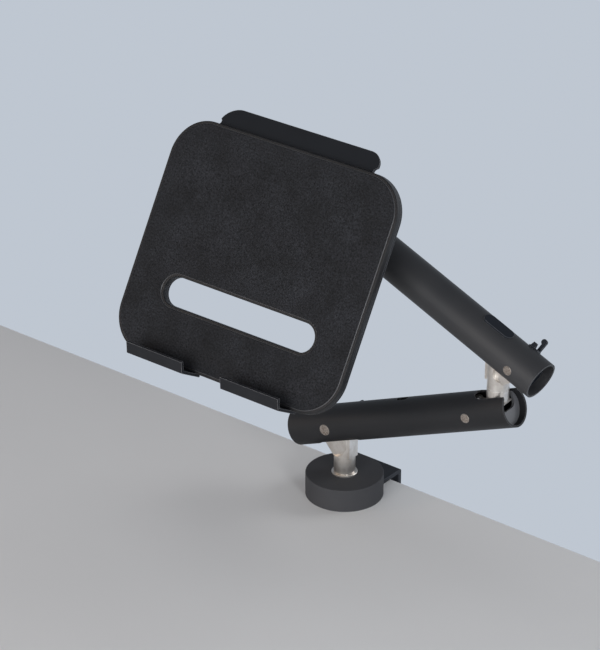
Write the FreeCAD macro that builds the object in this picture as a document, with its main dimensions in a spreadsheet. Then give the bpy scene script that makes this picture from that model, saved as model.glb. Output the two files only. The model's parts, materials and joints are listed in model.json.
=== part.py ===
"""Desk clamp arm with a tilting device holder.

The frame: the origin is on the post's axis, level with the desk top under the base.
+Z is up, +Y points out over the rear edge of the desk, and X runs along that edge.
Lengths are in millimetres and angles in degrees.
"""
import FreeCAD, Part
import os
import re
import Sketcher
from FreeCAD import Placement, Rotation, Vector

os.makedirs("parts", exist_ok=True)
doc = FreeCAD.newDocument("clamp_arm")

# ---------------------------------------------------------------- driving dimensions
DIMENSIONS = [
    # base and desk clamp
    ("puck_radius", 41.0), ("puck_height", 25.0), ("puck_wall", 3.0), ("puck_round", 1.0),
    ("mat_thickness", 1.5), ("strap_thickness", 4.5), ("strap_width", 70.0), ("strap_middle", -12.0),
    ("strap_front", 12.5), ("strap_back", 68.5), ("flange_bottom", -62.0),
    ("jaw_width", 50.0), ("jaw_top", -14.0), ("jaw_bottom", -84.0), ("jaw_front", -10.0),
    ("jaw_leg", 6.0), ("clamp_y", 10.0), ("desk_thickness", 25.0), ("foot_radius", 20.0),
    ("screw_radius", 5.0), ("knob_radius", 22.0), ("knob_top", -112.0), ("knob_height", 18.0),
    # post and swivel
    ("post_radius", 11.3), ("spigot_radius", 10.0), ("bush_radius", 13.0), ("running_gap", 0.05),
    ("base_pin_height", 79.1), ("base_offset", 12.0),
    # arms
    ("tube_radius", 20.0), ("tube_wall", 2.0), ("slot_width", 24.0),
    ("lower_spacing", 183.0), ("upper_spacing", 262.0), ("long_end", 48.5), ("short_end", 28.0),
    ("lower_yaw", 3.0), ("lower_pitch", 22.0), ("upper_yaw", 177.0), ("upper_pitch", 20.5),
    ("base_pin_radius", 6.0), ("arm_pin_radius", 5.0),
    # knuckles
    ("eye_radius", 14.0), ("lug_width", 15.0), ("fork_gap", 6.0), ("knuckle_offset", 25.0),
    ("knuckle_height", 34.1), ("link_height", 11.0), ("link_lobe", 4.8), ("link_pin_radius", 2.0),
    ("rod_half_height", 2.2), ("rod_thickness", 5.0), ("rod_eye", 3.7),
    ("stub_radius", 6.0), ("stub_bush", 7.5), ("seam", 0.9), ("bush_reach", 15.5),
    # balance springs
    ("spring_radius", 7.0), ("spring_length", 88.0), ("spring_drop", -7.0), ("piston_radius", 3.0),
    # head
    ("head_reach", 53.0), ("axle_height", 249.3), ("axle_radius", 4.0), ("arm_half", 9.0),
    ("hub_radius", 14.0), ("holder_yaw", 2.0), ("holder_tilt", 30.0), ("holder_roll", -1.1),
    ("axle_to_face", 51.0),
    ("plate_pitch", 50.0), ("plate_size", 70.0), ("plate_thickness", 5.0),
    # holder
    ("holder_width", 282.0), ("holder_height", 246.0), ("holder_corner", 42.0),
    ("tray_thickness", 3.0), ("pad_thickness", 8.0), ("hand_slot_length", 190.0),
    ("hand_slot_height", 30.0), ("hand_slot_drop", -52.0),
    ("lip_width", 72.0), ("lip_middle", 60.5), ("shelf_depth", 20.5), ("lip_height", 11.0),
    ("lip_lean", 7.0), ("edge_shift", -1.8), ("flange_width", 196.0), ("flange_length", 22.5),
    ("flange_angle", 30.0), ("flange_corner", 18.0), ("relief_radius", 3.5),
]
ALIASES = {alias for alias, _ in DIMENSIONS}
dims = doc.addObject("Spreadsheet::Sheet", "dims")
for row, (alias, value) in enumerate(DIMENSIONS, start=1):
    dims.set("A%d" % row, alias)
    dims.set("B%d" % row, str(value))
    dims.setAlias("B%d" % row, alias)
doc.recompute()


def size(expression):
    """The number that an expression over the sheet gives."""
    return float(dims.evalExpression(bind(expression)))


def bind(expression):
    """An expression with the sheet's name put before each alias."""
    def named(match):
        word = match.group()
        return "dims." + word if word in ALIASES else word
    return re.sub("[a-z_]+", named, str(expression))


# ---------------------------------------------------------------- sketches and features
PLANES = {"xy": "XY_Plane", "xz": "XZ_Plane", "yz": "YZ_Plane"}
sub_parts = []


def new_body(label):
    """An empty body that becomes one sub-part."""
    body = doc.addObject("PartDesign::Body", label)
    body.Label = label
    sub_parts.append(body)
    return body


def new_sketch(body, plane, offset="0"):
    """A sketch on one of the body's own planes, moved along the plane's normal."""
    support = next(item for item in body.Origin.OriginFeatures if item.Role == PLANES[plane])
    sketch = body.newObject("Sketcher::SketchObject", "Sketch")
    sketch.AttachmentSupport = [(support, "")]
    sketch.MapMode = "FlatFace"
    sketch.setExpression("AttachmentOffset.Base.z", bind(offset))
    return sketch


def drive(sketch, constraint, expression):
    """Add a dimension to a sketch and bind it to the sheet."""
    index = sketch.addConstraint(constraint)
    name = "d%d" % index
    sketch.renameConstraint(index, name)
    sketch.setExpression("Constraints." + name, bind(expression))


def pin_point(sketch, geometry, point, x, y):
    """Fix a point of the sketch at (x, y), both expressions."""
    for axis, other, expression in (("DistanceX", -2, x), ("DistanceY", -1, y)):
        value = size(expression)
        if abs(value) < 1e-9:
            sketch.addConstraint(Sketcher.Constraint("PointOnObject", geometry, point, other))
        else:
            drive(sketch, Sketcher.Constraint(axis, -1, 1, geometry, point, value), expression)


def outline(sketch, points):
    """A closed outline through points given as pairs of expressions."""
    corners = [Vector(size(x), size(y), 0) for x, y in points]
    first = sketch.GeometryCount
    count = len(corners)
    for index in range(count):
        sketch.addGeometry(Part.LineSegment(corners[index], corners[(index + 1) % count]))
    for index in range(count):
        following = first + (index + 1) % count
        sketch.addConstraint(Sketcher.Constraint("Coincident", first + index, 2, following, 1))
    for index, (x, y) in enumerate(points):
        pin_point(sketch, first + index, 1, x, y)


def rectangle(sketch, x_low, x_high, y_low, y_high):
    outline(sketch, [(x_low, y_low), (x_high, y_low), (x_high, y_high), (x_low, y_high)])


def circle(sketch, x, y, radius):
    middle = Vector(size(x), size(y), 0)
    index = sketch.addGeometry(Part.Circle(middle, Vector(0, 0, 1), size(radius)))
    drive(sketch, Sketcher.Constraint("Radius", index, size(radius)), radius)
    pin_point(sketch, index, 3, x, y)


def obround(sketch, x, y, length, width):
    """A slot outline with round ends, its length along the sketch's X."""
    half = (size(length) - size(width)) / 2
    radius = size(width) / 2
    centre = Vector(size(x), size(y), 0)
    left = centre - Vector(half, 0, 0)
    right = centre + Vector(half, 0, 0)
    up = Vector(0, radius, 0)
    quarter = FreeCAD.Units.Quantity("90 deg").getValueAs("rad").Value
    normal = Vector(0, 0, 1)
    first = sketch.addGeometry(Part.ArcOfCircle(Part.Circle(left, normal, radius), quarter, 3 * quarter))
    bottom = sketch.addGeometry(Part.LineSegment(left - up, right - up))
    last = sketch.addGeometry(Part.ArcOfCircle(Part.Circle(right, normal, radius), -quarter, quarter))
    top = sketch.addGeometry(Part.LineSegment(right + up, left + up))
    for one, end, other, start in ((first, 2, bottom, 1), (bottom, 2, last, 1), (last, 2, top, 1),
                                   (top, 2, first, 1)):
        sketch.addConstraint(Sketcher.Constraint("Tangent", one, end, other, start))
    sketch.addConstraint(Sketcher.Constraint("Horizontal", bottom))
    drive(sketch, Sketcher.Constraint("Radius", first, radius), "( %s ) / 2" % width)
    inset = "( ( %s ) - ( %s ) ) / 2" % (length, width)
    pin_point(sketch, first, 3, "( %s ) - %s" % (x, inset), y)
    pin_point(sketch, last, 3, "( %s ) + %s" % (x, inset), y)


def settle(body, feature):
    """Recompute, and stop at the first feature that fails."""
    doc.recompute()
    for item in body.Group:
        if "Invalid" in item.State or "Error" in item.State:
            raise RuntimeError("%s of %s is invalid" % (item.Name, body.Label))
    return feature


def pad(body, sketch, length):
    """Add material on both sides of a sketch, length being the whole thickness."""
    feature = body.newObject("PartDesign::Pad", "Pad")
    feature.Profile = sketch
    feature.SideType = "Symmetric"
    feature.setExpression("Length", bind(length))
    return settle(body, feature)


def pocket(body, sketch, length):
    """Cut through both sides of a sketch, and make sure that the cut removes material."""
    before = body.Shape.Volume
    feature = body.newObject("PartDesign::Pocket", "Pocket")
    feature.Profile = sketch
    feature.SideType = "Symmetric"
    feature.setExpression("Length", bind(length))
    settle(body, feature)
    if body.Shape.Volume > before - 0.01:
        raise RuntimeError("a pocket in %s cuts nothing" % body.Label)
    return feature


def revolve(body, points):
    """Turn an outline of (radius, height) pairs once around the body's Z axis."""
    sketch = new_sketch(body, "xz")
    outline(sketch, points)
    feature = body.newObject("PartDesign::Revolution", "Revolution")
    feature.Profile = sketch
    feature.ReferenceAxis = (sketch, ["V_Axis"])
    feature.Angle = 360.0
    return settle(body, feature)


def dress(body, kind, radius, chosen):
    """Fillet or chamfer the edges that the test picks."""
    base = body.Tip
    names = ["Edge%d" % number for number, edge in enumerate(base.Shape.Edges, start=1) if chosen(edge)]
    if not names:
        raise RuntimeError("no edge to dress in %s" % body.Label)
    feature = body.newObject("PartDesign::" + kind, kind)
    feature.Base = (base, names)
    feature.setExpression("Radius" if kind == "Fillet" else "Size", bind(radius))
    return settle(body, feature)


def turned(label, points, frame):
    """A turned piece: one revolved outline."""
    body = new_body(label)
    revolve(body, points)
    body.Placement = frame
    return body


def ring(inner, outer, low, high):
    """The outline of a plain ring."""
    return [(inner, low), (outer, low), (outer, high), (inner, high)]


def group(label, master, frames):
    """Several separate copies of one small piece in one sub-part."""
    copies = []
    for frame in frames:
        copy = master.Shape.copy()
        copy.Placement = frame
        copies.append(copy)
    sub_parts.remove(master)
    feature = doc.addObject("Part::Feature", label)
    feature.Label = label
    feature.Shape = Part.makeCompound(copies)
    feature.Placement = Placement()
    sub_parts.append(feature)
    return feature


def vertical(edge):
    """True for a straight edge along the body's Z."""
    if len(edge.Vertexes) != 2:
        return False
    run = edge.Vertexes[1].Point - edge.Vertexes[0].Point
    return abs(run.x) < 1e-6 and abs(run.y) < 1e-6


def circle_at(height, radius):
    """A test for a full circular edge at a height."""
    def chosen(edge):
        curve = edge.Curve
        if not isinstance(curve, Part.Circle):
            return False
        return abs(curve.Center.z - size(height)) < 1e-4 and abs(curve.Radius - size(radius)) < 1e-4
    return chosen


# ---------------------------------------------------------------- stations of the pieces
X_AXIS, Y_AXIS, Z_AXIS = Vector(1, 0, 0), Vector(0, 1, 0), Vector(0, 0, 1)


def upright(point, yaw):
    return Placement(point, Rotation(Z_AXIS, yaw))


def pitched(point, yaw, pitch):
    return Placement(point, Rotation(Z_AXIS, yaw).multiply(Rotation(Y_AXIS, -pitch)))


def moved(frame, x, y, z):
    """The same frame, moved along its own axes."""
    return frame.multiply(Placement(Vector(x, y, z), Rotation()))


def crosswise(frame):
    """The frame turned so that a turned piece lies across the arm, along its Y."""
    return frame.multiply(Placement(Vector(), Rotation(X_AXIS, -90)))


WORLD = Placement()
POST = upright(Vector(), size("lower_yaw"))
BASE_PIN = moved(POST, -size("base_offset"), 0, size("base_pin_height"))
LOWER = pitched(BASE_PIN.Base, size("lower_yaw"), size("lower_pitch"))
ELBOW = upright(moved(LOWER, size("lower_spacing"), 0, 0).Base, size("lower_yaw"))
ELBOW_AXIS = moved(ELBOW, size("knuckle_offset"), 0, 0)
SHOULDER_RISE = 2 * size("knuckle_height") + size("seam")
SHOULDER_TURN = upright(ELBOW_AXIS.Base, size("upper_yaw"))
SHOULDER = moved(SHOULDER_TURN, -size("knuckle_offset"), 0, SHOULDER_RISE)
UPPER = pitched(SHOULDER.Base, size("upper_yaw"), size("upper_pitch"))
HEAD = upright(moved(UPPER, size("upper_spacing"), 0, 0).Base, size("upper_yaw"))
PAN_POINT = moved(HEAD, size("knuckle_offset"), 0, 0).Base
PAN = upright(Vector(PAN_POINT.x, PAN_POINT.y, size("axle_height")), size("holder_yaw") - 90)
HUB_TOP = HEAD.Base.z - size("knuckle_height") - size("seam") - size("axle_height")
AXLE_POINT = moved(PAN, size("head_reach"), 0, 0).Base
HOLDER_TURN = Rotation(Z_AXIS, size("holder_yaw")).multiply(Rotation(X_AXIS, 90 - size("holder_tilt")))
TILT = Placement(AXLE_POINT, HOLDER_TURN)
FACE = moved(TILT, 0, 0, size("axle_to_face")).multiply(
    Placement(Vector(), Rotation(Z_AXIS, size("holder_roll"))))


# ---------------------------------------------------------------- base and desk clamp
def base_cover():
    body = new_body("base_cover")
    inner = "puck_radius - puck_wall"
    ceiling = "puck_height - puck_wall"
    hole = "bush_radius + 0.4"
    revolve(body, [(inner, "0"), ("puck_radius", "0"), ("puck_radius", "puck_height"),
                   (hole, "puck_height"), (hole, ceiling), (inner, ceiling)])
    dress(body, "Fillet", "puck_round", circle_at("puck_height", "puck_radius"))
    gate = new_sketch(body, "xy", "3.3")
    rectangle(gate, "strap_middle - strap_width / 2 - 0.4", "strap_middle + strap_width / 2 + 0.4",
              "strap_front - 0.4", "puck_radius + 9")
    pocket(body, gate, "6.6")


def base_mat():
    body = new_body("base_mat")
    disc = new_sketch(body, "xy", "mat_thickness / 2")
    circle(disc, "0", "0", "puck_radius - puck_wall - 0.7")
    pad(body, disc, "mat_thickness")
    strip = new_sketch(body, "xy", "mat_thickness / 2")
    rectangle(strip, "strap_middle - strap_width / 2 + 1", "strap_middle + strap_width / 2 - 1",
              "strap_front + 0.5", "50")
    pad(body, strip, "mat_thickness")


def clamp_bracket():
    body = new_body("clamp_bracket")
    top = "mat_thickness + strap_thickness"
    disc = new_sketch(body, "xy", "mat_thickness + strap_thickness / 2")
    circle(disc, "0", "0", "puck_radius - puck_wall - 1.5")
    pad(body, disc, "strap_thickness")
    fold = new_sketch(body, "yz", "strap_middle")
    inner = "strap_back - strap_thickness"
    outline(fold, [("strap_front", "mat_thickness"), (inner, "mat_thickness"), (inner, "flange_bottom"),
                   ("strap_back", "flange_bottom"), ("strap_back", top), ("strap_front", top)])
    pad(body, fold, "strap_width")
    # the outside of the bend
    def outer_bend(edge):
        middle = edge.BoundBox.Center
        return abs(middle.y - size("strap_back")) < 1e-4 and abs(middle.z - size(top)) < 1e-4
    dress(body, "Fillet", "2.5", outer_bend)
    hole = new_sketch(body, "xy")
    circle(hole, "0", "0", "14")
    for x, y in SOCKET_HOLES:
        circle(hole, x, y, "2.5")
    pocket(body, hole, "30")
    bolts = new_sketch(body, "xz", "-( strap_back )")
    for x, z in JAW_HOLES:
        circle(bolts, x, z, "3")
    pocket(body, bolts, "20")


SOCKET_HOLES = [(x, y) for x in ("-17", "17") for y in ("-17", "17")]
JAW_HOLES = [(x, z) for x in ("strap_middle - 15", "strap_middle + 15") for z in ("-28", "-48")]


def post_socket():
    body = new_body("post_socket")
    floor = "mat_thickness + strap_thickness"
    revolve(body, [("bush_radius", floor), ("30", floor), ("30", floor + " + 4"),
                   ("17.5", floor + " + 4"), ("17.5", "21.5"), ("bush_radius", "21.5")])
    holes = new_sketch(body, "xy", floor)
    for x, y in SOCKET_HOLES:
        circle(holes, x, y, "2.7")
    pocket(body, holes, "30")


def socket_screws():
    master = turned("socket_screw", [("0", "2"), ("2.5", "2"), ("2.5", "10"), ("4.6", "10"),
                                     ("4.6", "12.2"), ("3.4", "13"), ("0", "13")], WORLD)
    group("socket_screws", master,
          [Placement(Vector(size(x), size(y), 0), Rotation()) for x, y in SOCKET_HOLES])


def lower_jaw():
    body = new_body("lower_jaw")
    fold = new_sketch(body, "yz", "strap_middle")
    outer = "strap_back + jaw_leg"
    top = "jaw_bottom + jaw_leg"
    outline(fold, [("jaw_front", "jaw_bottom"), (outer, "jaw_bottom"), (outer, "jaw_top"),
                   ("strap_back", "jaw_top"), ("strap_back", top), ("jaw_front", top)])
    pad(body, fold, "jaw_width")
    def bend(edge):
        middle = edge.BoundBox.Center
        return abs(middle.y - size(outer)) < 1e-4 and abs(middle.z - size("jaw_bottom")) < 1e-4
    dress(body, "Fillet", "5", bend)
    def front_corner(edge):
        return vertical(edge) and edge.BoundBox.Center.y < size("jaw_front + 1")
    dress(body, "Fillet", "12", front_corner)
    bolts = new_sketch(body, "xz", "-( strap_back )")
    for x, z in JAW_HOLES:
        circle(bolts, x, z, "3.2")
    pocket(body, bolts, "30")
    bore = new_sketch(body, "xy", "jaw_bottom")
    circle(bore, "strap_middle", "clamp_y", "screw_radius + 0.08")
    pocket(body, bore, "30")


def jaw_fasteners():
    outward = Rotation(X_AXIS, -90)
    outer = size("strap_back + jaw_leg")
    bolt = turned("jaw_bolt", [("0", "-16"), ("3", "-16"), ("3", "0"), ("5.5", "0"), ("5.5", "2.2"),
                               ("4", "3.6"), ("2", "3.6"), ("2", "1.8"), ("0", "1.8")], WORLD)
    group("jaw_bolts", bolt, [Placement(Vector(size(x), outer, size(z)), outward) for x, z in JAW_HOLES])
    nut = new_body("jaw_nut")
    face = new_sketch(nut, "xy", "2.4")
    hexagon(face, 5.5)
    pad(nut, face, "4.8")
    bore = new_sketch(nut, "xy")
    circle(bore, "0", "0", "3")
    pocket(nut, bore, "20")
    inner = size("strap_back - strap_thickness")
    inward = Rotation(X_AXIS, 90)
    group("jaw_nuts", nut, [Placement(Vector(size(x), inner, size(z)), inward) for x, z in JAW_HOLES])


def hexagon(sketch, radius):
    """A hexagon whose corners lie on a circle of the given radius."""
    corners = []
    for step in range(6):
        corner = Rotation(Z_AXIS, 60 * step).multVec(Vector(radius, 0, 0))
        corners.append(("%.6f" % corner.x, "%.6f" % corner.y))
    outline(sketch, corners)


CLAMP = Placement(Vector(size("strap_middle"), size("clamp_y"), 0), Rotation())


def clamp_parts():
    top = "-desk_thickness"
    turned("foot_pad", [("0", top + " - 2"), ("foot_radius", top + " - 2"), ("foot_radius", top),
                        ("0", top)], CLAMP)
    turned("pressure_foot", [("0", top + " - 4.5"), ("6.4", top + " - 4.5"), ("6.4", top + " - 11"),
                             ("9", top + " - 11"), ("10", top + " - 5.5"), ("foot_radius", top + " - 4.5"),
                             ("foot_radius", top + " - 2"), ("0", top + " - 2")], CLAMP)
    turned("clamp_screw", [("0", top + " - 4.8"), ("5.8", top + " - 5.6"), ("5.8", top + " - 8.4"),
                           ("screw_radius", top + " - 9"), ("screw_radius", "knob_top - 12"),
                           ("0", "knob_top - 12")], CLAMP)
    clamp_knob()


def clamp_knob():
    body = new_body("clamp_knob")
    low = "knob_top - knob_height"
    revolve(body, [("0", low), ("knob_radius - 3", low), ("knob_radius", low + " + 3"),
                   ("knob_radius", "knob_top - 5"), ("knob_radius - 5", "knob_top - 3"), ("10", "knob_top"),
                   ("screw_radius", "knob_top"), ("screw_radius", "knob_top - 12"), ("0", "knob_top - 12")])
    grip = new_sketch(body, "xy", "knob_top - 9")
    circle(grip, "knob_radius + 4", "0", "7.5")
    cut = pocket(body, grip, "40")
    pattern = body.newObject("PartDesign::PolarPattern", "Grips")
    pattern.Originals = [cut]
    pattern.Axis = (grip, ["N_Axis"])
    pattern.Angle = 360.0
    pattern.Occurrences = 6
    body.Tip = pattern
    settle(body, pattern)
    body.Placement = CLAMP


def swivel_parts():
    turned("socket_bush", [("spigot_radius + running_gap", "6.5"), ("bush_radius", "6.5"),
                           ("bush_radius", "puck_height"), ("bush_radius + 0.6", "puck_height"),
                           ("bush_radius + 0.6", "puck_height + 1.2"),
                           ("bush_radius + 0.2", "puck_height + 1.6"),
                           ("spigot_radius + running_gap", "puck_height + 1.6")], WORLD)
    turned("post_washer", ring("3", "12.4", "4.5", "6.3"), WORLD)
    turned("post_screw", [("0", "1.8"), ("5", "1.8"), ("5", "4.5"), ("3", "4.5"), ("3", "18"),
                          ("0", "18")], WORLD)


# ---------------------------------------------------------------- knuckles
def lug_disc(body, x, z, radius):
    """A round boss of the lug, across the arm."""
    sketch = new_sketch(body, "xz")
    circle(sketch, x, z, radius)
    pad(body, sketch, "lug_width")


def cut_cheeks(body, x, z, radius):
    """Mill both sides of the post down to the lug's width, leaving a round run-out."""
    for side in ("1", "-1"):
        sketch = new_sketch(body, "xz", side + " * ( lug_width / 2 + 5 )")
        circle(sketch, x, z, radius)
        pocket(body, sketch, "10")


def bore_across(body, x, z, radius):
    sketch = new_sketch(body, "xz")
    circle(sketch, x, z, radius)
    pocket(body, sketch, "60")


def base_post():
    body = new_body("base_post")
    shoulder = "puck_height + 1.8"
    pin_x = "-base_offset"
    top = "base_pin_height - 10"
    revolve(body, [("3", "6.3"), ("spigot_radius", "6.3"), ("spigot_radius", shoulder),
                   ("post_radius - 0.3", shoulder), ("post_radius", shoulder + " + 0.3"),
                   ("post_radius", top), ("0", top), ("0", "18.5"), ("3", "18.5")])
    lug = new_sketch(body, "xz")
    outline(lug, [("-9", "base_pin_height - 34"), ("-20", "base_pin_height - 20.6"),
                  ("-base_offset - eye_radius", "base_pin_height"),
                  ("-base_offset + eye_radius", "base_pin_height"), ("post_radius", top),
                  ("post_radius", "base_pin_height - 34")])
    pad(body, lug, "lug_width")
    lug_disc(body, pin_x, "base_pin_height", "eye_radius")
    lug_disc(body, pin_x, "base_pin_height + link_height", "link_lobe")
    cut_cheeks(body, "-7", "base_pin_height - 18", "15")
    bore_across(body, pin_x, "base_pin_height", "base_pin_radius + 1.5")
    bore_across(body, pin_x, "base_pin_height + link_height", "link_pin_radius")
    fork = new_sketch(body, "xz")
    rectangle(fork, "-40", "30", "base_pin_height - 9", "base_pin_height + 30")
    pocket(body, fork, "fork_gap")
    body.Placement = POST


def hanging_knuckle(label, frame):
    """The knuckle inside an upper tube's end, with its post hanging down."""
    body = new_body(label)
    floor = "-knuckle_height"
    post = new_sketch(body, "xy", "-( knuckle_height + 5 ) / 2")
    circle(post, "knuckle_offset", "0", "post_radius")
    pad(body, post, "knuckle_height - 5")
    lug = new_sketch(body, "xz")
    right = "knuckle_offset + post_radius"
    outline(lug, [("-6", "-12"), ("knuckle_offset - post_radius", "-26"), (right, "-26"), (right, "-5"),
                  ("12", "-5"), ("10", "9")])
    pad(body, lug, "lug_width")
    lug_disc(body, "0", "0", "eye_radius")
    lug_disc(body, "0", "link_height", "link_lobe")
    cut_cheeks(body, "14", "-14.5", "10")
    bore_across(body, "0", "0", "arm_pin_radius + 1.5")
    bore_across(body, "0", "link_height", "link_pin_radius")
    fork = new_sketch(body, "xz")
    outline(fork, [("-30", "-30"), ("9", "-30"), ("9", "-9"), ("12", "-4.9"), ("50", "-4.9"), ("50", "30"),
                   ("-30", "30")])
    pocket(body, fork, "fork_gap")
    bore = new_sketch(body, "xy", floor)
    circle(bore, "knuckle_offset", "0", "stub_bush")
    pocket(body, bore, "2 * ( knuckle_height - 13 )")
    hole = new_sketch(body, "xy", "-10")
    circle(hole, "knuckle_offset", "0", "2.8")
    pocket(body, hole, "30")
    body.Placement = frame


def elbow_lower_link():
    """The knuckle inside the lower tube's end, with its post standing up."""
    body = new_body("elbow_lower_link")
    post = new_sketch(body, "xy", "( knuckle_height + 14 ) / 2")
    circle(post, "knuckle_offset", "0", "post_radius")
    pad(body, post, "knuckle_height - 14")
    lug = new_sketch(body, "xz")
    right = "knuckle_offset + post_radius"
    outline(lug, [("10", "-9.8"), ("28", "12"), ("28", "14"), (right, "20"), (right, "22"),
                  ("18", "22"), ("16.6", "14.2"), ("knuckle_offset - post_radius", "14"), ("0", "13")])
    pad(body, lug, "lug_width")
    slope = new_sketch(body, "xz")
    outline(slope, [("28", "13"), ("38", "13"), ("38", "21.2"), ("28", "14")])
    pocket(body, slope, "40")
    lug_disc(body, "0", "0", "eye_radius")
    lug_disc(body, "0", "link_height", "link_lobe")
    stub = new_sketch(body, "xy", "knuckle_height + ( seam + 21 ) / 2")
    circle(stub, "knuckle_offset", "0", "stub_radius")
    pad(body, stub, "seam + 21")
    thread = new_sketch(body, "xy", "knuckle_height + seam + 21")
    circle(thread, "knuckle_offset", "0", "2.5")
    pocket(body, thread, "24")
    bore_across(body, "0", "0", "arm_pin_radius + 1.5")
    bore_across(body, "0", "link_height", "link_pin_radius")
    fork = new_sketch(body, "xz")
    outline(fork, [("-30", "-30"), ("9", "-30"), ("9", "8"), ("6", "30"), ("-30", "30")])
    pocket(body, fork, "fork_gap")
    body.Placement = ELBOW


def joint_hardware(name, knuckle, pin_radius):
    """The flanged bushes that centre a knuckle in its tube, and the link pin above them."""
    across = crosswise(knuckle)
    bore = pin_radius + " + running_gap"
    master = turned(name + "_bush", [(bore, "fork_gap / 2"), (pin_radius + " + 1.5", "fork_gap / 2"),
                                     (pin_radius + " + 1.5", "lug_width / 2"), ("8.5", "lug_width / 2"),
                                     ("8.5", "bush_reach"), (bore, "bush_reach")], WORLD)
    flipped = across.multiply(Placement(Vector(), Rotation(X_AXIS, 180)))
    group(name + "_bushes", master, [across, flipped])
    turned(name + "_link_pin", ring("0", "link_pin_radius", "-7.4", "7.4"),
           crosswise(moved(knuckle, 0, 0, size("link_height"))))


def swivel_hardware(name, knuckle):
    """Flanged bush and screw of a vertical joint under a hanging knuckle."""
    axis = moved(knuckle, size("knuckle_offset"), 0, 0)
    floor = "-knuckle_height"
    bore = "stub_radius + running_gap"
    low = floor + " - seam + 0.05"
    turned(name + "_swivel_bush", [(bore, low), ("post_radius - 0.6", low), ("post_radius - 0.6", floor),
                                   ("stub_bush", floor), ("stub_bush", "-13.1"), (bore, "-13.1")], axis)
    turned(name + "_swivel_screw", [("0", "-23"), ("2.5", "-23"), ("2.5", "-4.7"), ("5", "-4.7"),
                                    ("5", "-2.6"), ("4", "-1.8"), ("0", "-1.8")], axis)


# ---------------------------------------------------------------- arms
def arm_tube(label, start, finish, frame, slots, holes):
    """A round tube along X with knuckle slots underneath and pin holes."""
    body = new_body(label)
    section = new_sketch(body, "yz", "( ( %s ) + ( %s ) ) / 2" % (start, finish))
    circle(section, "0", "0", "tube_radius")
    circle(section, "0", "0", "tube_radius - tube_wall")
    pad(body, section, "( %s ) - ( %s )" % (finish, start))
    for low, high in slots:
        slot = new_sketch(body, "xy", "-tube_radius")
        rectangle(slot, low, high, "-slot_width / 2", "slot_width / 2")
        pocket(body, slot, "15")
    for x, radius in holes:
        bore_across(body, x, "0", radius)
    body.Placement = frame
    return body


def window(body, x, length, width):
    """An obround opening in the top of a tube."""
    sketch = new_sketch(body, "xy", "tube_radius")
    obround(sketch, x, "0", length, width)
    pocket(body, sketch, "15")


def plug(label, low, high, frame, notch):
    """A round end plug, recessed in its tube; notch is the height of its open part's floor."""
    body = new_body(label)
    disc = new_sketch(body, "yz", "( ( %s ) + ( %s ) ) / 2" % (low, high))
    circle(disc, "0", "0", "tube_radius - tube_wall")
    pad(body, disc, "( %s ) - ( %s )" % (high, low))
    if notch:
        opening = new_sketch(body, "yz", low)
        rectangle(opening, "-slot_width / 2 - 0.2", "slot_width / 2 + 0.2", notch, "30")
        pocket(body, opening, "40")
        def floor_corner(edge):
            box = edge.BoundBox
            return box.XLength > 1 and box.YLength < 1e-6 and abs(box.Center.z - size(notch)) < 1e-4
        dress(body, "Fillet", "7", floor_corner)
    body.Placement = frame
    return body


def cross_pin(label, radius, frame):
    return turned(label, [("0", "-tube_radius"), (radius + " - 0.4", "-tube_radius"),
                          (radius, "-tube_radius + 0.4"), (radius, "tube_radius - 0.4"),
                          (radius + " - 0.4", "tube_radius"), ("0", "tube_radius")], crosswise(frame))


def link_rod(label, spacing, frame):
    """The levelling rod: a flat bar with an eye at each end; the far eye runs with more play."""
    body = new_body(label)
    bar = new_sketch(body, "xz")
    rectangle(bar, "0", spacing, "-rod_half_height", "rod_half_height")
    pad(body, bar, "rod_thickness")
    for x in ("0", spacing):
        eye = new_sketch(body, "xz")
        circle(eye, x, "0", "rod_eye")
        pad(body, eye, "rod_thickness")
    bore_across(body, "0", "0", "link_pin_radius + running_gap")
    bore_across(body, spacing, "0", "link_pin_radius + 0.4")
    body.Placement = frame


def spring_set(name, start, frame):
    """A gas spring along the tube, with its sliding piston rod and its seat."""
    along = Rotation(Y_AXIS, 90)
    lane = frame.multiply(Placement(Vector(size(start), 0, size("spring_drop")), along))
    turned(name + "_gas_spring", [("piston_radius + 0.1", "0"), ("spring_radius - 1", "0"),
                                  ("spring_radius", "1.5"), ("spring_radius", "spring_length"),
                                  ("0", "spring_length"), ("0", "40"), ("piston_radius + 0.1", "40")], lane)
    turned(name + "_piston_rod", [("0", "-28"), ("4", "-28"), ("5", "-27"), ("5", "-22"),
                                  ("piston_radius", "-20"), ("piston_radius", "28"), ("0", "28")], lane)
    body = new_body(name + "_spring_seat")
    face = "( %s ) + spring_length" % start
    disc = new_sketch(body, "yz", face + " + 4")
    circle(disc, "0", "0", "tube_radius - tube_wall")
    pad(body, disc, "8")
    gate = new_sketch(body, "yz", face + " + 4")
    rectangle(gate, "-4", "4", "3", "16")
    pocket(body, gate, "20")
    body.Placement = frame


def rolled(frame, turn, roll):
    """An arm's frame turned about its Z and then rolled about its length."""
    return frame.multiply(Placement(Vector(), Rotation(Z_AXIS, turn).multiply(Rotation(X_AXIS, roll))))


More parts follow.
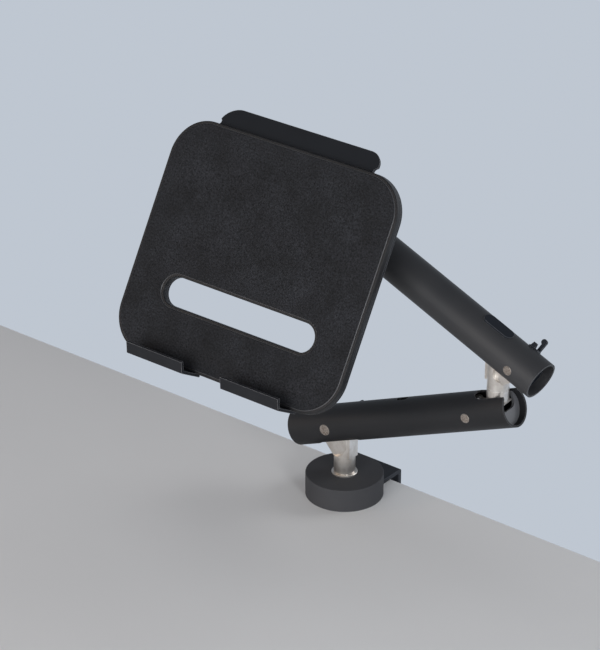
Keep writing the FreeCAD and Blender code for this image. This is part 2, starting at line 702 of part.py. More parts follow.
def cable_clip(label, x, frame):
    """A clip on a tube: a saddle with a short fin and, beside it, a taller bar with a round head."""
    body = new_body(label)
    top = "tube_radius"
    saddle = new_sketch(body, "xz")
    rectangle(saddle, x + " - 4.6", x + " + 7", top + " - 1.5", top + " + 1.2")
    pad(body, saddle, "9.4")
    fin = new_sketch(body, "xz", "-3")
    outline(fin, [(x + " - 0.4", top), (x + " + 6.4", top), (x + " + 4.8", top + " + 5.8"),
                  (x + " + 1", top + " + 5.8")])
    pad(body, fin, "3")
    bar = new_sketch(body, "xz", "3")
    rectangle(bar, x + " - 4.2", x + " - 0.4", top, top + " + 11")
    pad(body, bar, "3.4")
    head = new_sketch(body, "xz", "3")
    circle(head, x + " - 1.2", top + " + 11.4", "3.1")
    pad(body, head, "3.4")
    barrel = new_sketch(body, "yz", x)
    circle(barrel, "0", "0", "tube_radius")
    pocket(body, barrel, "30")
    body.Placement = frame


def lower_arm():
    start = "-long_end"
    finish = "lower_spacing + long_end"
    tube = arm_tube("lower_tube", start, finish, LOWER,
                    [("-25", "32")], [("0", "base_pin_radius"), ("lower_spacing", "arm_pin_radius")])
    window(tube, "97", "14", "7")
    window(tube, "lower_spacing + long_end - 10", "2 * long_end - 36", "slot_width")
    plug("lower_tail_cap", start + " + 1", start + " + 4", LOWER, None)
    plug("lower_end_plug", finish + " - 10.5", finish + " - 7.5", LOWER, "-2")
    cross_pin("base_pin", "base_pin_radius", LOWER)
    cross_pin("elbow_pin", "arm_pin_radius", moved(LOWER, size("lower_spacing"), 0, 0))
    link_rod("lower_link_rod", "lower_spacing",
             pitched(moved(BASE_PIN, 0, 0, size("link_height")).Base, size("lower_yaw"), size("lower_pitch")))
    spring_set("lower", "62", LOWER)
    cable_clip("lower_cable_clip", "-15", rolled(LOWER, 180, 70))


def upper_arm():
    start = "-short_end"
    finish = "upper_spacing + long_end"
    tube = arm_tube("upper_tube", start, finish, UPPER,
                    [("-15", "44"), ("upper_spacing - 15", "upper_spacing + 43")],
                    [("0", "arm_pin_radius"), ("upper_spacing", "arm_pin_radius")])
    window(tube, "36", "36", "13")
    cover = new_body("upper_window_cover")
    face = new_sketch(cover, "xy", "tube_radius - 0.4")
    obround(face, "36", "0", "36", "13")
    pad(cover, face, "2.8")
    cover.Placement = UPPER
    cap = plug("upper_end_cap", start + " + 10", start + " + 13", UPPER, None)
    group("upper_end_caps", cap, [UPPER, moved(UPPER, size(finish) - size(start) - 14, 0, 0)])
    pin = cross_pin("upper_arm_pin", "arm_pin_radius", UPPER)
    group("upper_arm_pins", pin, [crosswise(UPPER), crosswise(moved(UPPER, size("upper_spacing"), 0, 0))])
    link_rod("upper_link_rod", "upper_spacing",
             pitched(moved(SHOULDER, 0, 0, size("link_height")).Base, size("upper_yaw"), size("upper_pitch")))
    spring_set("upper", "82", UPPER)
    cable_clip("upper_cable_clip", "-3.5", rolled(UPPER, 0, 42))


# ---------------------------------------------------------------- head
def pan_arm():
    """The hub that turns under the head knuckle, and its arm to the tilt axle."""
    body = new_body("pan_arm")
    hub_low = -size("arm_half") - 3
    hub = new_sketch(body, "xy", "%.3f" % ((HUB_TOP + hub_low) / 2))
    circle(hub, "0", "0", "hub_radius")
    pad(body, hub, "%.3f" % (HUB_TOP - hub_low))
    stub = new_sketch(body, "xy", "%.3f + ( seam + 21 ) / 2" % HUB_TOP)
    circle(stub, "0", "0", "stub_radius")
    pad(body, stub, "seam + 21")
    bar = new_sketch(body, "xz")
    rectangle(bar, "0", "head_reach", "-arm_half", "arm_half")
    pad(body, bar, "2 * arm_half")
    eye = new_sketch(body, "xz")
    circle(eye, "head_reach", "0", "arm_half + 1.5")
    pad(body, eye, "2 * arm_half")
    thread = new_sketch(body, "xy", "%.3f + seam + 21" % HUB_TOP)
    circle(thread, "0", "0", "2.5")
    pocket(body, thread, "24")
    bore_across(body, "head_reach", "0", "axle_radius + running_gap")
    body.Placement = PAN


def tilt_bracket():
    """A folded steel fork: two ears on the axle and a face for the turning plate."""
    body = new_body("tilt_bracket")
    face_back = "axle_to_face - pad_thickness - tray_thickness - plate_thickness - 3.3"
    plate = new_sketch(body, "xy", face_back + " + 1.5")
    rectangle(plate, "-22", "22", "-22", "22")
    pad(body, plate, "3")
    dress(body, "Fillet", "8", vertical)
    for side in ("-1", "1"):
        ear = new_sketch(body, "yz", side + " * ( arm_half + 2.3 )")
        rectangle(ear, "-12", "12", "0", face_back + " + 1")
        pad(body, ear, "3")
        eye = new_sketch(body, "yz", side + " * ( arm_half + 2.3 )")
        circle(eye, "0", "0", "12")
        pad(body, eye, "3")
    hole = new_sketch(body, "yz")
    circle(hole, "0", "0", "axle_radius")
    pocket(body, hole, "60")
    centre = new_sketch(body, "xy", face_back)
    circle(centre, "0", "0", "axle_radius + running_gap")
    pocket(body, centre, "20")
    body.Placement = TILT


def tilt_hardware():
    across = TILT.multiply(Placement(Vector(), Rotation(Y_AXIS, 90)))
    ear = "arm_half + 3.8"
    turned("tilt_axle", [("0", "-( arm_half + 9.5 )"), ("axle_radius", "-( arm_half + 9.5 )"),
                         ("axle_radius", ear), ("6.5", ear), ("6.5", ear + " + 3.4"), ("5", ear + " + 4.6"),
                         ("0", ear + " + 4.6")], across)
    nut = new_body("tilt_nut")
    face = new_sketch(nut, "xy", "-( arm_half + 3.8 + 2.6 )")
    hexagon(face, 7.2)
    pad(nut, face, "5.2")
    bore = new_sketch(nut, "xy", "-( arm_half + 6 )")
    circle(bore, "0", "0", "axle_radius")
    pocket(nut, bore, "20")
    nut.Placement = across
    master = turned("tilt_washer", ring("axle_radius", "10", "arm_half + 0.2", "arm_half + 0.8"), WORLD)
    flipped = across.multiply(Placement(Vector(), Rotation(X_AXIS, 180)))
    group("tilt_washers", master, [across, flipped])


HALF_PITCHES = ("-plate_pitch / 2", "plate_pitch / 2")
PLATE_HOLES = [(x, y) for x in HALF_PITCHES for y in HALF_PITCHES]


def swivel_plate():
    """The square plate that turns on the bracket and carries the tray."""
    body = new_body("swivel_plate")
    middle = "-( pad_thickness + tray_thickness + plate_thickness / 2 )"
    face = new_sketch(body, "xy", middle)
    rectangle(face, "-plate_size / 2", "plate_size / 2", "-plate_size / 2", "plate_size / 2")
    pad(body, face, "plate_thickness")
    dress(body, "Fillet", "9", vertical)
    holes = new_sketch(body, "xy", middle)
    for x, y in PLATE_HOLES:
        circle(holes, x, y, "2.2")
    circle(holes, "0", "0", "axle_radius")
    pocket(body, holes, "20")
    body.Placement = FACE


def plate_hardware():
    back = -size("pad_thickness + tray_thickness + plate_thickness")
    master = turned("plate_screw", [("0", "-2.4"), ("2.6", "-2.4"), ("3.8", "-1.4"), ("3.8", "0"), ("2", "0"),
                                   ("2", "plate_thickness + tray_thickness"),
                                   ("0", "plate_thickness + tray_thickness")], WORLD)
    group("plate_screws", master, [moved(FACE, size(x), size(y), back) for x, y in PLATE_HOLES])
    turned("rotation_bolt", [("0", "-8.2"), ("6", "-8.2"), ("7.5", "-7"), ("7.5", "-3.5"),
                             ("axle_radius", "-3.5"), ("axle_radius", "plate_thickness"),
                             ("0", "plate_thickness")],
           moved(FACE, 0, 0, back))


# ---------------------------------------------------------------- holder
def holder_outline(body, middle):
    """The holder's face, a rounded rectangle around the face's centre."""
    sketch = new_sketch(body, "xy", middle)
    rectangle(sketch, "-holder_width / 2", "holder_width / 2", "-holder_height / 2", "holder_height / 2")
    return sketch


def hand_slot(body, middle, depth):
    sketch = new_sketch(body, "xy", middle)
    obround(sketch, "0", "hand_slot_drop", "hand_slot_length", "hand_slot_height")
    pocket(body, sketch, depth)


def holder_tray():
    """The steel tray with two upturned lips below and a folded-back flange above."""
    body = new_body("holder_tray")
    back = "-( pad_thickness + tray_thickness )"
    middle = "-( pad_thickness + tray_thickness / 2 )"
    pad(body, holder_outline(body, middle), "tray_thickness")
    dress(body, "Fillet", "holder_corner", vertical)
    hand_slot(body, middle, "20")
    edge = "-holder_height / 2"
    under = "-holder_height / 2 - tray_thickness"
    tip = "shelf_depth + lip_lean"
    for side in ("-1", "1"):
        lip = new_sketch(body, "yz", side + " * lip_middle + edge_shift")
        outline(lip, [(edge + " + 6", back), (under, back), (under, "shelf_depth"),
                      (under + " + lip_height", tip), (under + " + lip_height + 1.3", tip + " - 2.6"),
                      (edge, "shelf_depth - 1.9"), (edge, "-pad_thickness"),
                      (edge + " + 6", "-pad_thickness")])
        pad(body, lip, "lip_width")
    rise = "flange_length * cos(flange_angle * 1 deg)"
    drop = "flange_length * sin(flange_angle * 1 deg)"
    flange = new_sketch(body, "yz", "edge_shift")
    brow = "holder_height / 2"
    outline(flange, [(brow + " - 3", "-pad_thickness"), (brow + " + 0.8", "-pad_thickness"),
                     (brow + " + 0.8 + " + rise, "-pad_thickness - " + drop),
                     (brow + " - 0.7 + " + rise, "-pad_thickness - 2.6 - " + drop), (brow, back),
                     (brow + " - 3", back)])
    pad(body, flange, "flange_width")
    far = size(brow + " + 0.3 + " + rise)
    def flange_corner(edge):
        box = edge.BoundBox
        return box.YMin > far - 2.5 and box.XLength < 1e-6
    dress(body, "Fillet", "flange_corner", flange_corner)
    # round reliefs at the ends of the flange's bend
    relief = new_sketch(body, "xy", middle)
    for side in ("-1", "1"):
        circle(relief, side + " * ( flange_width / 2 + 1 ) + edge_shift", brow + " + 2", "relief_radius")
    pocket(body, relief, "14")
    holes = new_sketch(body, "xy", middle)
    for x, y in PLATE_HOLES:
        circle(holes, x, y, "2")
    pocket(body, holes, "20")
    body.Placement = FACE


def holder_pad():
    """The padded facing on the tray."""
    body = new_body("holder_pad")
    middle = "-pad_thickness / 2"
    pad(body, holder_outline(body, middle), "pad_thickness")
    dress(body, "Fillet", "holder_corner", vertical)
    hand_slot(body, middle, "30")
    dress(body, "Fillet", "1.5", lambda edge: edge.BoundBox.ZMin > -1e-6)
    body.Placement = FACE


# ---------------------------------------------------------------- assembly
for make in (base_cover, base_mat, clamp_bracket, post_socket, socket_screws, lower_jaw, jaw_fasteners,
             clamp_parts, swivel_parts, base_post, elbow_lower_link):
    make()
joint_hardware("base", BASE_PIN, "base_pin_radius")
joint_hardware("elbow", ELBOW, "arm_pin_radius")
hanging_knuckle("elbow_upper_link", SHOULDER)
joint_hardware("shoulder", SHOULDER, "arm_pin_radius")
swivel_hardware("elbow", SHOULDER)
lower_arm()
upper_arm()
hanging_knuckle("head_link", HEAD)
joint_hardware("head", HEAD, "arm_pin_radius")
swivel_hardware("pan", HEAD)
for make in (pan_arm, tilt_bracket, tilt_hardware, swivel_plate, plate_hardware, holder_tray, holder_pad):
    make()

doc.recompute()
for item in doc.Objects:
    if "Invalid" in item.State or "Error" in item.State:
        raise RuntimeError("%s failed: %s" % (item.Label, item.State))
for piece in sub_parts:
    shape = piece.Shape
    if shape.isNull() or not shape.isValid() or not shape.Solids:
        raise RuntimeError("%s has no valid solid" % piece.Label)
for piece in sub_parts:
    piece.Shape.exportStep("parts/%s.step" % piece.Label)
print(len(sub_parts), "sub-parts written")
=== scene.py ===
"""The look of the desk clamp arm with its tilting tablet holder.

Metres, in the CAD frame: the origin is on the post's axis at the desk top, +Z is up,
+Y points out over the rear edge of the desk and +X runs along that edge.
"""

import json
import math

import bmesh
import bpy
from mathutils import Matrix, Vector
from mathutils.geometry import delaunay_2d_cdt


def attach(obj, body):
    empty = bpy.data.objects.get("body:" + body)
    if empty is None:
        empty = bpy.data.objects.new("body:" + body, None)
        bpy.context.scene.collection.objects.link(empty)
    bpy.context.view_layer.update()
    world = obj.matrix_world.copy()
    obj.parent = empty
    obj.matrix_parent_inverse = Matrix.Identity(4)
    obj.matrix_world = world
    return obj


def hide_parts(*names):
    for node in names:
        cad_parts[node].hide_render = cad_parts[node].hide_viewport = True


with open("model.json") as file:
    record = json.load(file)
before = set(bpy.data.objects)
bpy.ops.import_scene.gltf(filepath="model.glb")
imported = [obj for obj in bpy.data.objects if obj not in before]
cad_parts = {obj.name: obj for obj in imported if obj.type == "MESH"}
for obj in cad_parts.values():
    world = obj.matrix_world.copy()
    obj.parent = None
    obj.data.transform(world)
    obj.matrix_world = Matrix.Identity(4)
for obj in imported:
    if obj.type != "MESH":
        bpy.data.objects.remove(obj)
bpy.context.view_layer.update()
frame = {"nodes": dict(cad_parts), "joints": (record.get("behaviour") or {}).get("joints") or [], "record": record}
nodes = frame["nodes"]

# ---------------------------------------------------------------- sizes
# the staged desk top, just clear of the clamp
DESK_EDGE = 0.0512
DESK_THICKNESS = 0.0248
DESK_WIDTH = 2.4
DESK_DEPTH = 1.7

# the padded face and its hand slot, about the middle of the holder's face
PAD_WIDTH = 0.282
PAD_HEIGHT = 0.246
PAD_CORNER = 0.042
PAD_THICKNESS = 0.008
SLOT_LENGTH = 0.190
SLOT_HEIGHT = 0.030
SLOT_DROP = -0.052
# its edge: a rounded corner, a low rim, a thin lighter band painted as a highlight line, and a step up to a
# slightly crowned face
EDGE_ROUND = 0.0011
RIM_WIDTH = 0.0026
RIM_DROP = 0.0012
HIGHLIGHT_LINE_WIDTH = 0.0006
STEP_WIDTH = 0.0010
CROWN_HEIGHT = 0.0005
CROWN_WIDTH = 0.035
# how its mesh is divided: loops at these insets from every edge, and staggered points between
LOOP_INSETS = (0.0, 0.00012, 0.0004, 0.0008, 0.0012, 0.0019, 0.0026, 0.0028, 0.0030, 0.0032, 0.0034,
               0.0036, 0.0040, 0.0052, 0.0070)
LOOP_STEP = 0.003
POINT_SPACING = 0.0045
SIDE_DEPTHS = (0.35, 1.0)
# how the face is turned, in degrees: about Z, then about its width, then in its own plane
HOLDER_YAW = 2.0
HOLDER_SLOPE = 60.0
HOLDER_ROLL = -1.1
# the padding's materials, in order
FACE_INDEX, RIM_INDEX, HIGHLIGHT_LINE_INDEX = range(3)

# the studio: a pale wall up to the horizon, fading to a darker ceiling at this height on the sphere
WALL_COLOUR = (0.52, 0.57, 0.64)
CEILING_COLOUR = (0.12, 0.135, 0.16)
CEILING_HEIGHT = 0.6

# the camera: metres, degrees, and millimetres of lens
CAMERA_PLACE = Vector((1.50793, -1.95033, 1.44833))
CAMERA_AZIMUTH = 38.79
CAMERA_ELEVATION = 26.93
CAMERA_LENS = 163.4
CAMERA_SENSOR = 36.0
CAMERA_RANGE = 50.0


# ---------------------------------------------------------------- materials
def node_tree(name):
    """A new material: its node tree, and its main shader."""
    material = bpy.data.materials.new(name)
    material.use_nodes = True
    tree = material.node_tree
    return material, tree, tree.nodes["Principled BSDF"]


def add(tree, kind, **values):
    """A node with some of its inputs or properties set."""
    node = tree.nodes.new(kind)
    for key, value in values.items():
        if key in node.inputs:
            node.inputs[key].default_value = value
        else:
            setattr(node, key, value)
    return node


def noise(tree, place, scale, detail=4.0, roughness=0.55, stretch=(1.0, 1.0, 1.0)):
    """Noise over the object, in metres; stretch squeezes it along an axis."""
    mapping = add(tree, "ShaderNodeMapping")
    mapping.inputs["Scale"].default_value = stretch
    tree.links.new(place, mapping.inputs["Vector"])
    texture = add(tree, "ShaderNodeTexNoise")
    texture.inputs["Scale"].default_value = scale
    texture.inputs["Detail"].default_value = detail
    texture.inputs["Roughness"].default_value = roughness
    tree.links.new(mapping.outputs["Vector"], texture.inputs["Vector"])
    return texture.outputs["Fac"]


def rescale(tree, value, source, target=(0.0, 1.0)):
    """A value moved from one range to another, held at its ends."""
    ranger = add(tree, "ShaderNodeMapRange")
    for key, number in zip(("From Min", "From Max", "To Min", "To Max"), (*source, *target)):
        ranger.inputs[key].default_value = number
    tree.links.new(value, ranger.inputs["Value"])
    return ranger.outputs["Result"]


def spread(tree, fac, low, high):
    """The noise's middle range mapped to low..high."""
    return rescale(tree, fac, (0.3, 0.7), (low, high))


def tint(tree, fac, dark, light):
    """A colour between two, by a factor."""
    mixer = add(tree, "ShaderNodeMix", data_type="RGBA")
    mixer.inputs[6].default_value = (*dark, 1.0)
    mixer.inputs[7].default_value = (*light, 1.0)
    tree.links.new(fac, mixer.inputs[0])
    return mixer.outputs[2]


def bump(tree, height, strength, distance, below=None):
    """A surface normal tilted by a height, on top of another one if given."""
    node = add(tree, "ShaderNodeBump")
    node.inputs["Strength"].default_value = strength
    node.inputs["Distance"].default_value = distance
    tree.links.new(height, node.inputs["Height"])
    if below:
        tree.links.new(below, node.inputs["Normal"])
    return node.outputs["Normal"]


def painted_edge_highlights(tree, colour, light, width):
    """The colour, lightened in a thin line along sharp edges: a painted highlight standing in for light caught on
    the edges.
    """
    plain = add(tree, "ShaderNodeNewGeometry").outputs["Normal"]
    rounded = add(tree, "ShaderNodeBevel", samples=6)
    rounded.inputs["Radius"].default_value = width
    along = add(tree, "ShaderNodeVectorMath", operation="DOT_PRODUCT")
    tree.links.new(plain, along.inputs[0])
    tree.links.new(rounded.outputs["Normal"], along.inputs[1])
    mixer = add(tree, "ShaderNodeMix", data_type="RGBA")
    mixer.inputs[7].default_value = (*light, 1.0)
    tree.links.new(rescale(tree, along.outputs["Value"], (0.98, 0.80)), mixer.inputs[0])
    tree.links.new(colour, mixer.inputs[6])
    return mixer.outputs[2]


def surface(name, dark, light, rough, grain, grain_depth, metal=0.0, patch=14.0, stretch=(1.0, 1.0, 1.0),
            specular=0.5, edge=None, edge_width=0.0005):
    """A finish with slow patches of tone, a fine grain in its gloss and height, and a painted highlight along
    sharp edges if wanted.

    patch and grain are noise scales, grain_depth and edge_width are metres; edge is the colour of the painted edge
    highlight.
    """
    material, tree, shader = node_tree(name)
    place = add(tree, "ShaderNodeTexCoord").outputs["Object"]
    slow = noise(tree, place, patch, 3.0)
    fine = noise(tree, place, grain, 5.0, 0.6, stretch)
    colour = tint(tree, spread(tree, slow, 0.0, 1.0), dark, light)
    # edge: a painted highlight, a lighter line along the sharp edges
    if edge:
        colour = painted_edge_highlights(tree, colour, edge, edge_width)
    tree.links.new(colour, shader.inputs["Base Color"])
    tree.links.new(spread(tree, fine, rough - 0.04, rough + 0.04), shader.inputs["Roughness"])
    tree.links.new(bump(tree, fine, 0.3, grain_depth), shader.inputs["Normal"])
    shader.inputs["Metallic"].default_value = metal
    shader.inputs["Specular IOR Level"].default_value = specular
    return material


def fabric(name):
    """A dark napped cloth: fine fibres under soft mottling."""
    material, tree, shader = node_tree(name)
    place = add(tree, "ShaderNodeTexCoord").outputs["Object"]
    mottle = noise(tree, place, 24.0, 6.0, 0.62)
    speck = noise(tree, place, 520.0, 3.0, 0.75)
    fibre = noise(tree, place, 1500.0, 3.0, 0.7)
    both = add(tree, "ShaderNodeMath", operation="MULTIPLY")
    tree.links.new(spread(tree, mottle, 0.3, 1.0), both.inputs[0])
    tree.links.new(spread(tree, speck, 0.0, 1.15), both.inputs[1])
    tree.links.new(tint(tree, both.outputs[0], (0.003, 0.0031, 0.0036), (0.039, 0.041, 0.048)),
                   shader.inputs["Base Color"])
    tree.links.new(spread(tree, mottle, 0.72, 0.86), shader.inputs["Roughness"])
    coarse = bump(tree, speck, 0.5, 0.0002)
    tree.links.new(bump(tree, fibre, 0.4, 0.0001, coarse), shader.inputs["Normal"])
    shader.inputs["Sheen Weight"].default_value = 0.08
    shader.inputs["Sheen Roughness"].default_value = 0.4
    shader.inputs["Specular IOR Level"].default_value = 0.2
    return material


# edge=(...) gives a finish a painted highlight along its sharp edges
FINISHES = {
    "tube_paint": surface("tube paint", (0.031, 0.032, 0.035), (0.038, 0.039, 0.042), 0.54, 1400.0, 0.00001,
                          specular=0.4, edge=(0.14, 0.14, 0.145)),
    "bracket_paint": surface("bracket paint", (0.013, 0.015, 0.020), (0.018, 0.021, 0.027), 0.55, 1600.0,
                             0.00004, specular=0.35, edge=(0.11, 0.115, 0.125)),
    "puck_plastic": surface("puck plastic", (0.050, 0.051, 0.056), (0.062, 0.063, 0.068), 0.7, 1800.0,
                            0.00006, specular=0.12, edge=(0.19, 0.19, 0.20), edge_width=0.0012),
    "cap_plastic": surface("cap plastic", (0.008, 0.010, 0.015), (0.011, 0.014, 0.021), 0.5, 1500.0,
                           0.00004, specular=0.3, edge=(0.16, 0.165, 0.18), edge_width=0.0007),
    "plug_plastic": surface("plug plastic", (0.13, 0.133, 0.142), (0.155, 0.158, 0.168), 0.5, 900.0, 0.00004),
    "link_alloy": surface("link alloy", (0.60, 0.55, 0.50), (0.84, 0.81, 0.77), 0.32, 60.0, 0.000004,
                          metal=0.92, patch=90.0, stretch=(1.0, 1.0, 14.0)),
    "pin_steel": surface("pin steel", (0.22, 0.18, 0.15), (0.56, 0.50, 0.45), 0.38, 900.0, 0.00003, metal=1.0,
                         patch=600.0, edge=(0.74, 0.70, 0.66), edge_width=0.0007),
    "screw_steel": surface("screw steel", (0.50, 0.50, 0.51), (0.62, 0.62, 0.62), 0.34, 900.0, 0.00002,
                           metal=1.0),
    "bush_plastic": surface("bush plastic", (0.55, 0.55, 0.55), (0.66, 0.66, 0.65), 0.4, 700.0, 0.00002),
    "rubber": surface("rubber", (0.010, 0.010, 0.010), (0.016, 0.016, 0.016), 0.75, 1200.0, 0.0001),
    "tray_paint": surface("tray paint", (0.009, 0.010, 0.013), (0.013, 0.015, 0.019), 0.55, 1600.0, 0.00004,
                          specular=0.3, edge=(0.19, 0.19, 0.20), edge_width=0.0010),
    "pad_fabric": fabric("pad fabric"),
}
# the pad's rim, with a painted highlight along its sharp edges
PAD_EDGE = surface("pad edge", (0.009, 0.009, 0.010), (0.013, 0.013, 0.015), 0.55, 1500.0, 0.00003,
                   specular=0.35, edge=(0.20, 0.20, 0.21), edge_width=0.0006)
# a lighter band at the foot of the rim's step: a painted highlight line, not a real seam
PAD_HIGHLIGHT_LINE = surface("pad highlight line", (0.055, 0.055, 0.058), (0.085, 0.085, 0.09), 0.35, 1500.0, 0.00003)
# the tube paint again, darker, for the lower tube alone: painted shade on the same finish
SHADED_LOWER_TUBE_PAINT = surface("lower tube paint, painted shade", (0.012, 0.0125, 0.0145), (0.016, 0.0165, 0.0185), 0.54, 1400.0,
                      0.00001, specular=0.33, edge=(0.13, 0.13, 0.135))

# every piece takes its slot's finish, but the lower tube takes the darker copy with painted shade
slots = {part["node"]: part["material_slot"] for part in frame["record"]["subparts"]}
for name, piece in nodes.items():
    piece.data.materials.clear()
    piece.data.materials.append(SHADED_LOWER_TUBE_PAINT if name == "lower_tube" else FINISHES[slots[name]])


# ---------------------------------------------------------------- the padded face
def rounded_distance(x, y, half_x, half_y, corner):
    """How far inside a rounded rectangle a point is; negative outside it."""
    over_x = abs(x) - (half_x - corner)
    over_y = abs(y) - (half_y - corner)
    outside = math.hypot(max(over_x, 0.0), max(over_y, 0.0))
    return corner - outside - min(max(over_x, over_y), 0.0)


def inside(x, y):
    """How far a point of the face is from the nearest edge, the hand slot's included."""
    outer = rounded_distance(x, y, PAD_WIDTH / 2, PAD_HEIGHT / 2, PAD_CORNER)
    slot = rounded_distance(x, y - SLOT_DROP, SLOT_LENGTH / 2, SLOT_HEIGHT / 2, SLOT_HEIGHT / 2)
    return min(outer, -slot)


def loop(half_x, half_y, corner, middle_y, step):
    """Points around a rounded rectangle, about one step apart."""
    points = []
    turns = max(6, round(corner * math.pi / 2 / step))
    for quarter, (side_x, side_y) in enumerate(((1, 1), (-1, 1), (-1, -1), (1, -1))):
        centre = Vector((side_x * (half_x - corner), side_y * (half_y - corner)))
        for turn in range(turns + 1):
            angle = math.radians(90) * (quarter + turn / turns)
            points.append(centre + corner * Vector((math.cos(angle), math.sin(angle))))
    closed = []
    for start, end in zip(points, points[1:] + points[:1]):
        count = max(1, round((end - start).length / step))
        closed += [start.lerp(end, part / count) for part in range(count) if (end - start).length > 1e-7]
    return [Vector((point.x, point.y + middle_y)) for point in closed]


def smooth(value):
    """A soft step from 0 to 1."""
    value = min(max(value, 0.0), 1.0)
    return value * value * (3.0 - 2.0 * value)


def face_height(x, y):
    """The pad's face: a rounded outer edge, a low rim, a soft step and a slight crown."""
    depth = inside(x, y)
    height = -RIM_DROP
    if depth < EDGE_ROUND:
        height -= EDGE_ROUND - math.sqrt(max(EDGE_ROUND ** 2 - (EDGE_ROUND - depth) ** 2, 0.0))
    height += RIM_DROP * smooth((depth - RIM_WIDTH) / STEP_WIDTH)
    height += CROWN_HEIGHT * smooth((depth - RIM_WIDTH) / CROWN_WIDTH)
    return height


def face_points():
    """Points over the pad's face, and the edges that hold its outlines."""
    points, edges = [], []

    def add_loop(ring):
        first = len(points)
        points.extend(ring)
        edges.extend((first + spot, first + (spot + 1) % len(ring)) for spot in range(len(ring)))

    for inset in LOOP_INSETS:
        add_loop(loop(PAD_WIDTH / 2 - inset, PAD_HEIGHT / 2 - inset, PAD_CORNER - inset, 0.0, LOOP_STEP))
        slot_end = SLOT_HEIGHT / 2 + inset
        add_loop(loop(SLOT_LENGTH / 2 + inset, slot_end, slot_end, SLOT_DROP, LOOP_STEP))
    columns = int(PAD_WIDTH / POINT_SPACING)
    rows = int(PAD_HEIGHT / POINT_SPACING)
    for column in range(-columns // 2, columns // 2 + 1):
        for row in range(-rows // 2, rows // 2 + 1):
            spot = Vector((POINT_SPACING * (column + 0.5 * (row % 2)), POINT_SPACING * row))
            if inside(spot.x, spot.y) > LOOP_INSETS[-1] + 0.6 * POINT_SPACING:
                points.append(spot)
    return points, edges


def face_material(face):
    """Which of the padding's materials a face of its front takes."""
    middle = face.calc_center_median()
    beyond_rim = inside(middle.x, middle.y) - RIM_WIDTH
    # faces just past the rim take the painted highlight line
    if beyond_rim < 0.0:
        return RIM_INDEX
    return HIGHLIGHT_LINE_INDEX if beyond_rim < HIGHLIGHT_LINE_WIDTH else FACE_INDEX


def pad_mesh():
    """The pad as one closed form with its hand slot."""
    flat, _, faces, *_ = delaunay_2d_cdt(*face_points(), [], 0, 1e-7)
    mesh = bmesh.new()
    front = [mesh.verts.new((spot.x, spot.y, face_height(spot.x, spot.y))) for spot in flat]
    for corners in faces:
        middle = sum((flat[corner] for corner in corners), Vector((0.0, 0.0))) / len(corners)
        if inside(middle.x, middle.y) > 0.0:
            mesh.faces.new([front[corner] for corner in corners])
    bmesh.ops.delete(mesh, geom=[vert for vert in mesh.verts if not vert.link_faces], context="VERTS")
    for face in mesh.faces:
        face.material_index = face_material(face)
    rim = [edge for edge in mesh.edges if edge.is_boundary]
    for depth in SIDE_DEPTHS:
        grown = bmesh.ops.extrude_edge_only(mesh, edges=rim)["geom"]
        for vert in (item for item in grown if isinstance(item, bmesh.types.BMVert)):
            vert.co.z = -PAD_THICKNESS * depth
        for face in (item for item in grown if isinstance(item, bmesh.types.BMFace)):
            face.material_index = RIM_INDEX
        rim = [item for item in grown if isinstance(item, bmesh.types.BMEdge) and item.is_boundary]
    bmesh.ops.triangle_fill(mesh, edges=rim, use_beauty=True, normal=(0.0, 0.0, -1.0))
    bmesh.ops.recalc_face_normals(mesh, faces=mesh.faces)
    for face in mesh.faces:
        face.smooth = True
    data = bpy.data.meshes.new("holder_padding")
    mesh.to_mesh(data)
    mesh.free()
    return data


plate_turn = next(joint for joint in frame["joints"] if joint["name"] == "plate_turn")
padding = bpy.data.objects.new("holder_padding", pad_mesh())
bpy.context.scene.collection.objects.link(padding)
padding.matrix_world = (
    Matrix.Translation(plate_turn["pos_m"])
    @ Matrix.Rotation(math.radians(HOLDER_YAW), 4, "Z")
    @ Matrix.Rotation(math.radians(HOLDER_SLOPE), 4, "X")
    @ Matrix.Rotation(math.radians(HOLDER_ROLL), 4, "Z")
)
for material in (FINISHES["pad_fabric"], PAD_EDGE, PAD_HIGHLIGHT_LINE):
    padding.data.materials.append(material)
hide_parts("holder_pad")
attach(padding, "holder")

# ---------------------------------------------------------------- desk top and light
desk_material, desk_tree, desk_shader = node_tree("pale desk")
desk_place = add(desk_tree, "ShaderNodeTexCoord").outputs["Object"]
desk_noise = noise(desk_tree, desk_place, 9.0, 3.0)
desk_tree.links.new(tint(desk_tree, desk_noise, (0.76, 0.76, 0.76), (0.80, 0.80, 0.80)),
                    desk_shader.inputs["Base Color"])
desk_shader.inputs["Roughness"].default_value = 0.7
bpy.ops.mesh.primitive_cube_add(size=1.0)
desk = bpy.context.object
desk.name = "desk_top"
desk.dimensions = (DESK_WIDTH, DESK_DEPTH, DESK_THICKNESS)
desk.location = (0.0, DESK_EDGE - DESK_DEPTH / 2, -DESK_THICKNESS / 2)
desk.data.materials.append(desk_material)

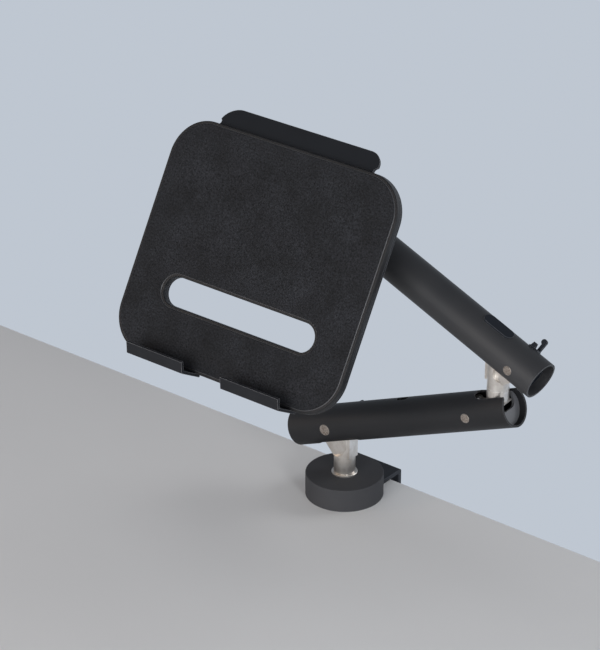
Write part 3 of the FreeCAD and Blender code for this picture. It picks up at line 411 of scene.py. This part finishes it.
world = bpy.data.worlds.new("studio")
world.use_nodes = True
studio = world.node_tree
background = studio.nodes["Background"]
direction = add(studio, "ShaderNodeSeparateXYZ")
studio.links.new(add(studio, "ShaderNodeTexCoord").outputs["Generated"], direction.inputs["Vector"])
height = rescale(studio, direction.outputs["Z"], (0.0, CEILING_HEIGHT))
studio.links.new(tint(studio, height, WALL_COLOUR, CEILING_COLOUR), background.inputs["Color"])
bpy.context.scene.world = world


def area_light(name, place, aim, width, height, power, colour=(1.0, 1.0, 1.0)):
    """A soft rectangular light at a place, facing another."""
    data = bpy.data.lights.new(name, "AREA")
    data.shape = "RECTANGLE"
    data.size = width
    data.size_y = height
    data.energy = power
    data.color = colour
    light = bpy.data.objects.new(name, data)
    light.location = place
    light.rotation_euler = (Vector(aim) - Vector(place)).to_track_quat("-Z", "Y").to_euler()
    bpy.context.scene.collection.objects.link(light)


area_light("key", (0.3, -2.4, 0.8), (0.0, 0.0, 0.15), 1.8, 1.2, 30.0, (1.0, 0.97, 0.94))
area_light("top", (-1.2, 0.3, 2.2), (0.0, 0.0, 0.15), 1.4, 1.4, 3.0)
area_light("warm", (-1.6, -1.7, 1.0), (0.05, 0.0, 0.12), 0.9, 0.9, 7.0, (1.0, 0.76, 0.56))
area_light("side", (1.95, -1.05, 0.75), (0.0, 0.0, 0.2), 0.45, 0.9, 14.0)
area_light("back", (1.2, 1.6, 0.9), (0.0, 0.0, 0.2), 1.0, 1.0, 12.0)

# ---------------------------------------------------------------- camera
camera_data = bpy.data.cameras.new("camera")
camera_data.sensor_fit = "HORIZONTAL"
camera_data.sensor_width = CAMERA_SENSOR
camera_data.lens = CAMERA_LENS
camera_data.clip_end = CAMERA_RANGE
camera = bpy.data.objects.new("camera", camera_data)
bpy.context.scene.collection.objects.link(camera)
camera.matrix_world = (
    Matrix.Translation(CAMERA_PLACE)
    @ Matrix.Rotation(math.radians(CAMERA_AZIMUTH), 4, "Z")
    @ Matrix.Rotation(math.radians(90 - CAMERA_ELEVATION), 4, "X")
)
bpy.context.scene.camera = camera
bpy.context.scene.view_settings.view_transform = "Standard"
